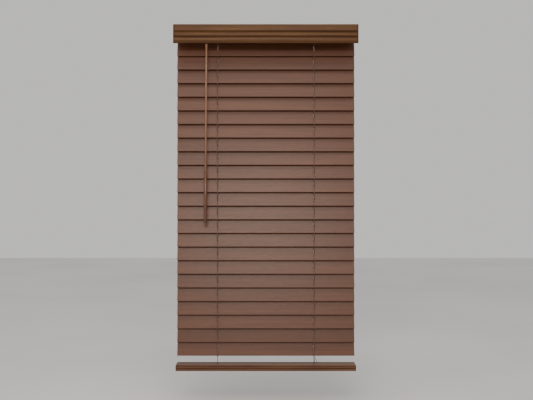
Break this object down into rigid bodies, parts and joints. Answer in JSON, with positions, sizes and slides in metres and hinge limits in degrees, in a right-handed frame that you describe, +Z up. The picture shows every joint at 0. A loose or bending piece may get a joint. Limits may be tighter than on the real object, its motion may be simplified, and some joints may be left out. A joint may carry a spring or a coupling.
{
  "type": "venetian blind",
  "caption": "Inside-mount venetian blind: wide closed brown slats on two cord ladders under a beaded valance, with a tilt wand, cordless lift and bottom rail.",
  "frame": {"origin": "on the window head, at the middle of the blind's length and over the slats' centre plane: the middle of the plane of the two brackets' top faces", "axes": "+X along the slats to the right as seen from the room, +Y towards the window glass (so -Y faces the room), +Z up"},
  "size_m": [0.582, 0.0845, 1.0929],
  "materials": {
    "slat": "satin faux-wood slat, warm brown with fine lengthwise grain",
    "valance": "satin faux-wood moulding, chestnut brown",
    "bottom_rail": "satin faux-wood rail, chestnut brown",
    "wand": "lacquered light brown wand",
    "cord": "braided brown polyester cord",
    "painted_steel": "brown baked enamel on rolled steel",
    "zinc_steel": "bright zinc plate",
    "moulded_plastic": "moulded acetal, off-white"
  },
  "bodies": {
    "headrail_assembly": {"headrail": "painted_steel", "valance": "valance", "left_bracket": "painted_steel", "right_bracket": "painted_steel", "tilter_housing": "moulded_plastic"},
    "slat_01": {"slat_01": "slat"},
    "bottom_rail": {"bottom_rail": "bottom_rail"},
    "carriage_02": {"lift_cord_02": "cord"},
    "slat_02": {"slat_02": "slat"},
    "carriage_03": {"lift_cord_03": "cord"},
    "slat_03": {"slat_03": "slat"},
    "carriage_04": {"lift_cord_04": "cord"},
    "slat_04": {"slat_04": "slat"},
    "carriage_05": {"lift_cord_05": "cord"},
    "slat_05": {"slat_05": "slat"},
    "carriage_06": {"lift_cord_06": "cord"},
    "slat_06": {"slat_06": "slat"},
    "carriage_07": {"lift_cord_07": "cord"},
    "slat_07": {"slat_07": "slat"},
    "carriage_08": {"lift_cord_08": "cord"},
    "slat_08": {"slat_08": "slat"},
    "carriage_09": {"lift_cord_09": "cord"},
    "slat_09": {"slat_09": "slat"},
    "carriage_10": {"lift_cord_10": "cord"},
    "slat_10": {"slat_10": "slat"},
    "carriage_11": {"lift_cord_11": "cord"},
    "slat_11": {"slat_11": "slat"},
    "carriage_12": {"lift_cord_12": "cord"},
    "slat_12": {"slat_12": "slat"},
    "carriage_13": {"lift_cord_13": "cord"},
    "slat_13": {"slat_13": "slat"},
    "carriage_14": {"lift_cord_14": "cord"},
    "slat_14": {"slat_14": "slat"},
    "carriage_15": {"lift_cord_15": "cord"},
    "slat_15": {"slat_15": "slat"},
    "carriage_16": {"lift_cord_16": "cord"},
    "slat_16": {"slat_16": "slat"},
    "carriage_17": {"lift_cord_17": "cord"},
    "slat_17": {"slat_17": "slat"},
    "carriage_18": {"lift_cord_18": "cord"},
    "slat_18": {"slat_18": "slat"},
    "carriage_19": {"lift_cord_19": "cord"},
    "slat_19": {"slat_19": "slat"},
    "carriage_20": {"lift_cord_20": "cord"},
    "slat_20": {"slat_20": "slat"},
    "carriage_21": {"lift_cord_21": "cord"},
    "slat_21": {"slat_21": "slat"},
    "carriage_22": {"lift_cord_22": "cord"},
    "slat_22": {"slat_22": "slat"},
    "slat_23": {"slat_23": "slat"},
    "ladder_front": {"ladder_front_left": "cord", "ladder_front_right": "cord"},
    "ladder_back": {"ladder_back_left": "cord", "ladder_back_right": "cord"},
    "tilt_rod": {"tilt_rod": "zinc_steel", "left_ladder_drum": "moulded_plastic", "right_ladder_drum": "moulded_plastic"},
    "tilter_worm": {"tilter_worm": "moulded_plastic"},
    "wand_hook": {"wand_hook": "zinc_steel"},
    "tilt_wand": {"tilt_wand": "wand"}
  },
  "joints": [
    {"name": "tilt", "type": "hinge", "parent": "headrail_assembly", "child": "slat_01", "pos_m": [0, 0, -0.0666], "axis": [1, 0, 0], "range_deg": [-152, 0]},
    {"name": "lift", "type": "slide", "parent": "headrail_assembly", "child": "bottom_rail", "axis": [0, 0, 1], "range_m": [0, 0.6], "deforming": ["ladder_front_left", "ladder_front_right", "ladder_back_left", "ladder_back_right"]},
    {"name": "lift_02", "type": "slide", "parent": "headrail_assembly", "child": "carriage_02", "axis": [0, 0, 1], "range_m": [0, 0.02728], "deforming": ["lift_cord_02"]},
    {"name": "tilt_02", "type": "hinge", "parent": "carriage_02", "child": "slat_02", "pos_m": [0, 0, -0.1101], "axis": [1, 0, 0], "range_deg": [-152, 0]},
    {"name": "lift_03", "type": "slide", "parent": "headrail_assembly", "child": "carriage_03", "axis": [0, 0, 1], "range_m": [0, 0.05455], "deforming": ["lift_cord_03"]},
    {"name": "tilt_03", "type": "hinge", "parent": "carriage_03", "child": "slat_03", "pos_m": [0, 0, -0.1536], "axis": [1, 0, 0], "range_deg": [-152, 0]},
    {"name": "lift_04", "type": "slide", "parent": "headrail_assembly", "child": "carriage_04", "axis": [0, 0, 1], "range_m": [0, 0.08183], "deforming": ["lift_cord_04"]},
    {"name": "tilt_04", "type": "hinge", "parent": "carriage_04", "child": "slat_04", "pos_m": [0, 0, -0.1971], "axis": [1, 0, 0], "range_deg": [-152, 0]},
    {"name": "lift_05", "type": "slide", "parent": "headrail_assembly", "child": "carriage_05", "axis": [0, 0, 1], "range_m": [0, 0.1091], "deforming": ["lift_cord_05"]},
    {"name": "tilt_05", "type": "hinge", "parent": "carriage_05", "child": "slat_05", "pos_m": [0, 0, -0.2406], "axis": [1, 0, 0], "range_deg": [-152, 0]},
    {"name": "lift_06", "type": "slide", "parent": "headrail_assembly", "child": "carriage_06", "axis": [0, 0, 1], "range_m": [0, 0.13637], "deforming": ["lift_cord_06"]},
    {"name": "tilt_06", "type": "hinge", "parent": "carriage_06", "child": "slat_06", "pos_m": [0, 0, -0.2841], "axis": [1, 0, 0], "range_deg": [-152, 0]},
    {"name": "lift_07", "type": "slide", "parent": "headrail_assembly", "child": "carriage_07", "axis": [0, 0, 1], "range_m": [0, 0.16365], "deforming": ["lift_cord_07"]},
    {"name": "tilt_07", "type": "hinge", "parent": "carriage_07", "child": "slat_07", "pos_m": [0, 0, -0.3276], "axis": [1, 0, 0], "range_deg": [-152, 0]},
    {"name": "lift_08", "type": "slide", "parent": "headrail_assembly", "child": "carriage_08", "axis": [0, 0, 1], "range_m": [0, 0.19092], "deforming": ["lift_cord_08"]},
    {"name": "tilt_08", "type": "hinge", "parent": "carriage_08", "child": "slat_08", "pos_m": [0, 0, -0.3711], "axis": [1, 0, 0], "range_deg": [-152, 0]},
    {"name": "lift_09", "type": "slide", "parent": "headrail_assembly", "child": "carriage_09", "axis": [0, 0, 1], "range_m": [0, 0.21819], "deforming": ["lift_cord_09"]},
    {"name": "tilt_09", "type": "hinge", "parent": "carriage_09", "child": "slat_09", "pos_m": [0, 0, -0.4146], "axis": [1, 0, 0], "range_deg": [-152, 0]},
    {"name": "lift_10", "type": "slide", "parent": "headrail_assembly", "child": "carriage_10", "axis": [0, 0, 1], "range_m": [0, 0.24546], "deforming": ["lift_cord_10"]},
    {"name": "tilt_10", "type": "hinge", "parent": "carriage_10", "child": "slat_10", "pos_m": [0, 0, -0.4581], "axis": [1, 0, 0], "range_deg": [-152, 0]},
    {"name": "lift_11", "type": "slide", "parent": "headrail_assembly", "child": "carriage_11", "axis": [0, 0, 1], "range_m": [0, 0.27274], "deforming": ["lift_cord_11"]},
    {"name": "tilt_11", "type": "hinge", "parent": "carriage_11", "child": "slat_11", "pos_m": [0, 0, -0.5016], "axis": [1, 0, 0], "range_deg": [-152, 0]},
    {"name": "lift_12", "type": "slide", "parent": "headrail_assembly", "child": "carriage_12", "axis": [0, 0, 1], "range_m": [0, 0.30001], "deforming": ["lift_cord_12"]},
    {"name": "tilt_12", "type": "hinge", "parent": "carriage_12", "child": "slat_12", "pos_m": [0, 0, -0.5451], "axis": [1, 0, 0], "range_deg": [-152, 0]},
    {"name": "lift_13", "type": "slide", "parent": "headrail_assembly", "child": "carriage_13", "axis": [0, 0, 1], "range_m": [0, 0.32728], "deforming": ["lift_cord_13"]},
    {"name": "tilt_13", "type": "hinge", "parent": "carriage_13", "child": "slat_13", "pos_m": [0, 0, -0.5886], "axis": [1, 0, 0], "range_deg": [-152, 0]},
    {"name": "lift_14", "type": "slide", "parent": "headrail_assembly", "child": "carriage_14", "axis": [0, 0, 1], "range_m": [0, 0.35456], "deforming": ["lift_cord_14"]},
    {"name": "tilt_14", "type": "hinge", "parent": "carriage_14", "child": "slat_14", "pos_m": [0, 0, -0.6321], "axis": [1, 0, 0], "range_deg": [-152, 0]},
    {"name": "lift_15", "type": "slide", "parent": "headrail_assembly", "child": "carriage_15", "axis": [0, 0, 1], "range_m": [0, 0.38183], "deforming": ["lift_cord_15"]},
    {"name": "tilt_15", "type": "hinge", "parent": "carriage_15", "child": "slat_15", "pos_m": [0, 0, -0.6756], "axis": [1, 0, 0], "range_deg": [-152, 0]},
    {"name": "lift_16", "type": "slide", "parent": "headrail_assembly", "child": "carriage_16", "axis": [0, 0, 1], "range_m": [0, 0.4091], "deforming": ["lift_cord_16"]},
    {"name": "tilt_16", "type": "hinge", "parent": "carriage_16", "child": "slat_16", "pos_m": [0, 0, -0.7191], "axis": [1, 0, 0], "range_deg": [-152, 0]},
    {"name": "lift_17", "type": "slide", "parent": "headrail_assembly", "child": "carriage_17", "axis": [0, 0, 1], "range_m": [0, 0.43637], "deforming": ["lift_cord_17"]},
    {"name": "tilt_17", "type": "hinge", "parent": "carriage_17", "child": "slat_17", "pos_m": [0, 0, -0.7626], "axis": [1, 0, 0], "range_deg": [-152, 0]},
    {"name": "lift_18", "type": "slide", "parent": "headrail_assembly", "child": "carriage_18", "axis": [0, 0, 1], "range_m": [0, 0.46365], "deforming": ["lift_cord_18"]},
    {"name": "tilt_18", "type": "hinge", "parent": "carriage_18", "child": "slat_18", "pos_m": [0, 0, -0.8061], "axis": [1, 0, 0], "range_deg": [-152, 0]},
    {"name": "lift_19", "type": "slide", "parent": "headrail_assembly", "child": "carriage_19", "axis": [0, 0, 1], "range_m": [0, 0.49092], "deforming": ["lift_cord_19"]},
    {"name": "tilt_19", "type": "hinge", "parent": "carriage_19", "child": "slat_19", "pos_m": [0, 0, -0.8496], "axis": [1, 0, 0], "range_deg": [-152, 0]},
    {"name": "lift_20", "type": "slide", "parent": "headrail_assembly", "child": "carriage_20", "axis": [0, 0, 1], "range_m": [0, 0.51819], "deforming": ["lift_cord_20"]},
    {"name": "tilt_20", "type": "hinge", "parent": "carriage_20", "child": "slat_20", "pos_m": [0, 0, -0.8931], "axis": [1, 0, 0], "range_deg": [-152, 0]},
    {"name": "lift_21", "type": "slide", "parent": "headrail_assembly", "child": "carriage_21", "axis": [0, 0, 1], "range_m": [0, 0.54546], "deforming": ["lift_cord_21"]},
    {"name": "tilt_21", "type": "hinge", "parent": "carriage_21", "child": "slat_21", "pos_m": [0, 0, -0.9366], "axis": [1, 0, 0], "range_deg": [-152, 0]},
    {"name": "lift_22", "type": "slide", "parent": "headrail_assembly", "child": "carriage_22", "axis": [0, 0, 1], "range_m": [0, 0.57274], "deforming": ["lift_cord_22"]},
    {"name": "tilt_22", "type": "hinge", "parent": "carriage_22", "child": "slat_22", "pos_m": [0, 0, -0.9801], "axis": [1, 0, 0], "range_deg": [-152, 0]},
    {"name": "tilt_23", "type": "hinge", "parent": "bottom_rail", "child": "slat_23", "pos_m": [0, 0, -1.0236], "axis": [1, 0, 0], "range_deg": [-152, 0]},
    {"name": "ladder_front_swing", "type": "hinge", "parent": "slat_01", "child": "ladder_front", "pos_m": [0, -0.00562, -0.08916], "axis": [1, 0, 0], "range_deg": [0, 152]},
    {"name": "ladder_back_swing", "type": "hinge", "parent": "slat_01", "child": "ladder_back", "pos_m": [0, 0.00562, -0.04404], "axis": [1, 0, 0], "range_deg": [0, 152]},
    {"name": "rod_turn", "type": "hinge", "parent": "headrail_assembly", "child": "tilt_rod", "pos_m": [0, 0, -0.018], "axis": [1, 0, 0], "range_deg": [-250.8, 0]},
    {"name": "worm_turn", "type": "hinge", "parent": "headrail_assembly", "child": "tilter_worm", "pos_m": [-0.187, -0.036, -0.046], "axis": [0, -0.9231, -0.3846], "range_deg": [-3009.6, 0]},
    {"name": "wand_swing", "type": "hinge", "parent": "headrail_assembly", "child": "wand_hook", "pos_m": [-0.187, -0.036, -0.046], "axis": [1, 0, 0], "range_deg": [-14, 0]},
    {"name": "wand_turn", "type": "hinge", "parent": "wand_hook", "child": "tilt_wand", "pos_m": [-0.187, -0.036, -0.046], "axis": [-0.007, 0, -1], "range_deg": [-3009.6, 0]}
  ],
  "couplings": [
    {"joint": "lift_02", "follows": "lift", "ratio": 0.045455},
    {"joint": "tilt_02", "follows": "tilt", "ratio": 1},
    {"joint": "lift_03", "follows": "lift", "ratio": 0.090909},
    {"joint": "tilt_03", "follows": "tilt", "ratio": 1},
    {"joint": "lift_04", "follows": "lift", "ratio": 0.13636},
    {"joint": "tilt_04", "follows": "tilt", "ratio": 1},
    {"joint": "lift_05", "follows": "lift", "ratio": 0.18182},
    {"joint": "tilt_05", "follows": "tilt", "ratio": 1},
    {"joint": "lift_06", "follows": "lift", "ratio": 0.22727},
    {"joint": "tilt_06", "follows": "tilt", "ratio": 1},
    {"joint": "lift_07", "follows": "lift", "ratio": 0.27273},
    {"joint": "tilt_07", "follows": "tilt", "ratio": 1},
    {"joint": "lift_08", "follows": "lift", "ratio": 0.31818},
    {"joint": "tilt_08", "follows": "tilt", "ratio": 1},
    {"joint": "lift_09", "follows": "lift", "ratio": 0.36364},
    {"joint": "tilt_09", "follows": "tilt", "ratio": 1},
    {"joint": "lift_10", "follows": "lift", "ratio": 0.40909},
    {"joint": "tilt_10", "follows": "tilt", "ratio": 1},
    {"joint": "lift_11", "follows": "lift", "ratio": 0.45455},
    {"joint": "tilt_11", "follows": "tilt", "ratio": 1},
    {"joint": "lift_12", "follows": "lift", "ratio": 0.5},
    {"joint": "tilt_12", "follows": "tilt", "ratio": 1},
    {"joint": "lift_13", "follows": "lift", "ratio": 0.54545},
    {"joint": "tilt_13", "follows": "tilt", "ratio": 1},
    {"joint": "lift_14", "follows": "lift", "ratio": 0.59091},
    {"joint": "tilt_14", "follows": "tilt", "ratio": 1},
    {"joint": "lift_15", "follows": "lift", "ratio": 0.63636},
    {"joint": "tilt_15", "follows": "tilt", "ratio": 1},
    {"joint": "lift_16", "follows": "lift", "ratio": 0.68182},
    {"joint": "tilt_16", "follows": "tilt", "ratio": 1},
    {"joint": "lift_17", "follows": "lift", "ratio": 0.72727},
    {"joint": "tilt_17", "follows": "tilt", "ratio": 1},
    {"joint": "lift_18", "follows": "lift", "ratio": 0.77273},
    {"joint": "tilt_18", "follows": "tilt", "ratio": 1},
    {"joint": "lift_19", "follows": "lift", "ratio": 0.81818},
    {"joint": "tilt_19", "follows": "tilt", "ratio": 1},
    {"joint": "lift_20", "follows": "lift", "ratio": 0.86364},
    {"joint": "tilt_20", "follows": "tilt", "ratio": 1},
    {"joint": "lift_21", "follows": "lift", "ratio": 0.90909},
    {"joint": "tilt_21", "follows": "tilt", "ratio": 1},
    {"joint": "lift_22", "follows": "lift", "ratio": 0.95455},
    {"joint": "tilt_22", "follows": "tilt", "ratio": 1},
    {"joint": "tilt_23", "follows": "tilt", "ratio": 1},
    {"joint": "ladder_front_swing", "follows": "tilt", "ratio": -1},
    {"joint": "ladder_back_swing", "follows": "tilt", "ratio": -1},
    {"joint": "rod_turn", "follows": "tilt", "ratio": 1.65},
    {"joint": "worm_turn", "follows": "tilt", "ratio": 19.8},
    {"joint": "wand_turn", "follows": "tilt", "ratio": 19.8}
  ]
}
